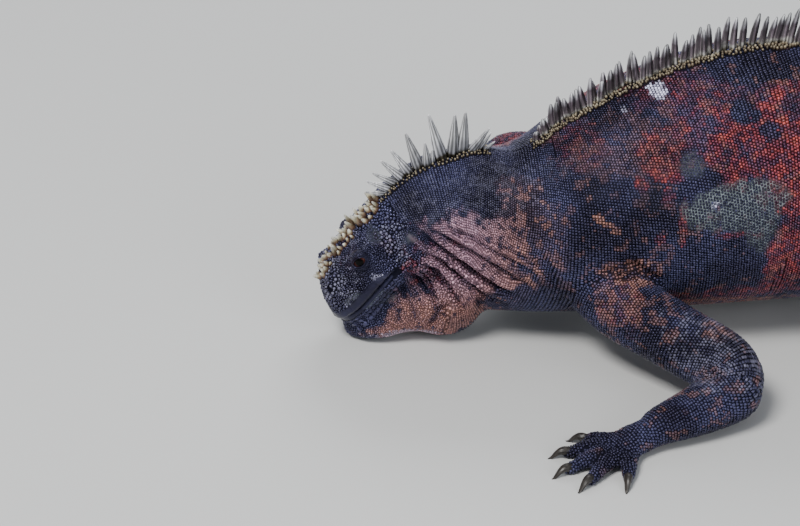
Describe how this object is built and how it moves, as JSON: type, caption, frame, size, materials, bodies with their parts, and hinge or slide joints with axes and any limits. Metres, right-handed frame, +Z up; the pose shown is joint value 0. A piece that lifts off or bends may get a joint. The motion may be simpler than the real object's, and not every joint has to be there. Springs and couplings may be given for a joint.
{
  "type": "marine iguana",
  "caption": "Life-size marine iguana grazing head-down: spiny nape, crested back, splayed clawed legs and a long flattened tail, at rest on the floor.",
  "frame": {"origin": "on the floor, under the middle of the model's outer box, with the head, tail and legs counted", "axes": "+Z up; +X from the snout towards the tail; -Y towards the animal's left side"},
  "size_m": [0.9588, 0.4202, 0.1631],
  "materials": {
    "skin_head": "blackish scaly skin with pale salt-crusted scutes",
    "skin_body": "brick red and blue-black scaly skin, faintly glossy",
    "skin_limbs": "violet-grey scaly skin, faintly glossy",
    "eye": "dark red-brown, wet",
    "claw": "blackish horn"
  },
  "bodies": {
    "root": {"head": "skin_head", "left_eye": "eye", "left_foot": "skin_limbs", "left_foot_claw_1": "claw", "left_foot_claw_2": "claw", "left_foot_claw_3": "claw", "left_foot_claw_4": "claw", "left_foot_claw_5": "claw", "left_forearm": "skin_limbs", "left_hand": "skin_limbs", "left_hand_claw_1": "claw", "left_hand_claw_2": "claw", "left_hand_claw_3": "claw", "left_hand_claw_4": "claw", "left_hand_claw_5": "claw", "left_shin": "skin_limbs", "left_thigh": "skin_limbs", "left_upper_arm": "skin_limbs", "lower_jaw": "skin_head", "neck": "skin_body", "right_eye": "eye", "right_foot": "skin_limbs", "right_foot_claw_1": "claw", "right_foot_claw_2": "claw", "right_foot_claw_3": "claw", "right_foot_claw_4": "claw", "right_foot_claw_5": "claw", "right_forearm": "skin_limbs", "right_hand": "skin_limbs", "right_hand_claw_1": "claw", "right_hand_claw_2": "claw", "right_hand_claw_3": "claw", "right_hand_claw_4": "claw", "right_hand_claw_5": "claw", "right_shin": "skin_limbs", "right_thigh": "skin_limbs", "right_upper_arm": "skin_limbs", "tail_base": "skin_body", "tail_lower": "skin_body", "tail_tip": "skin_body", "tail_upper": "skin_body", "torso": "skin_body"}
  },
  "joints": []
}
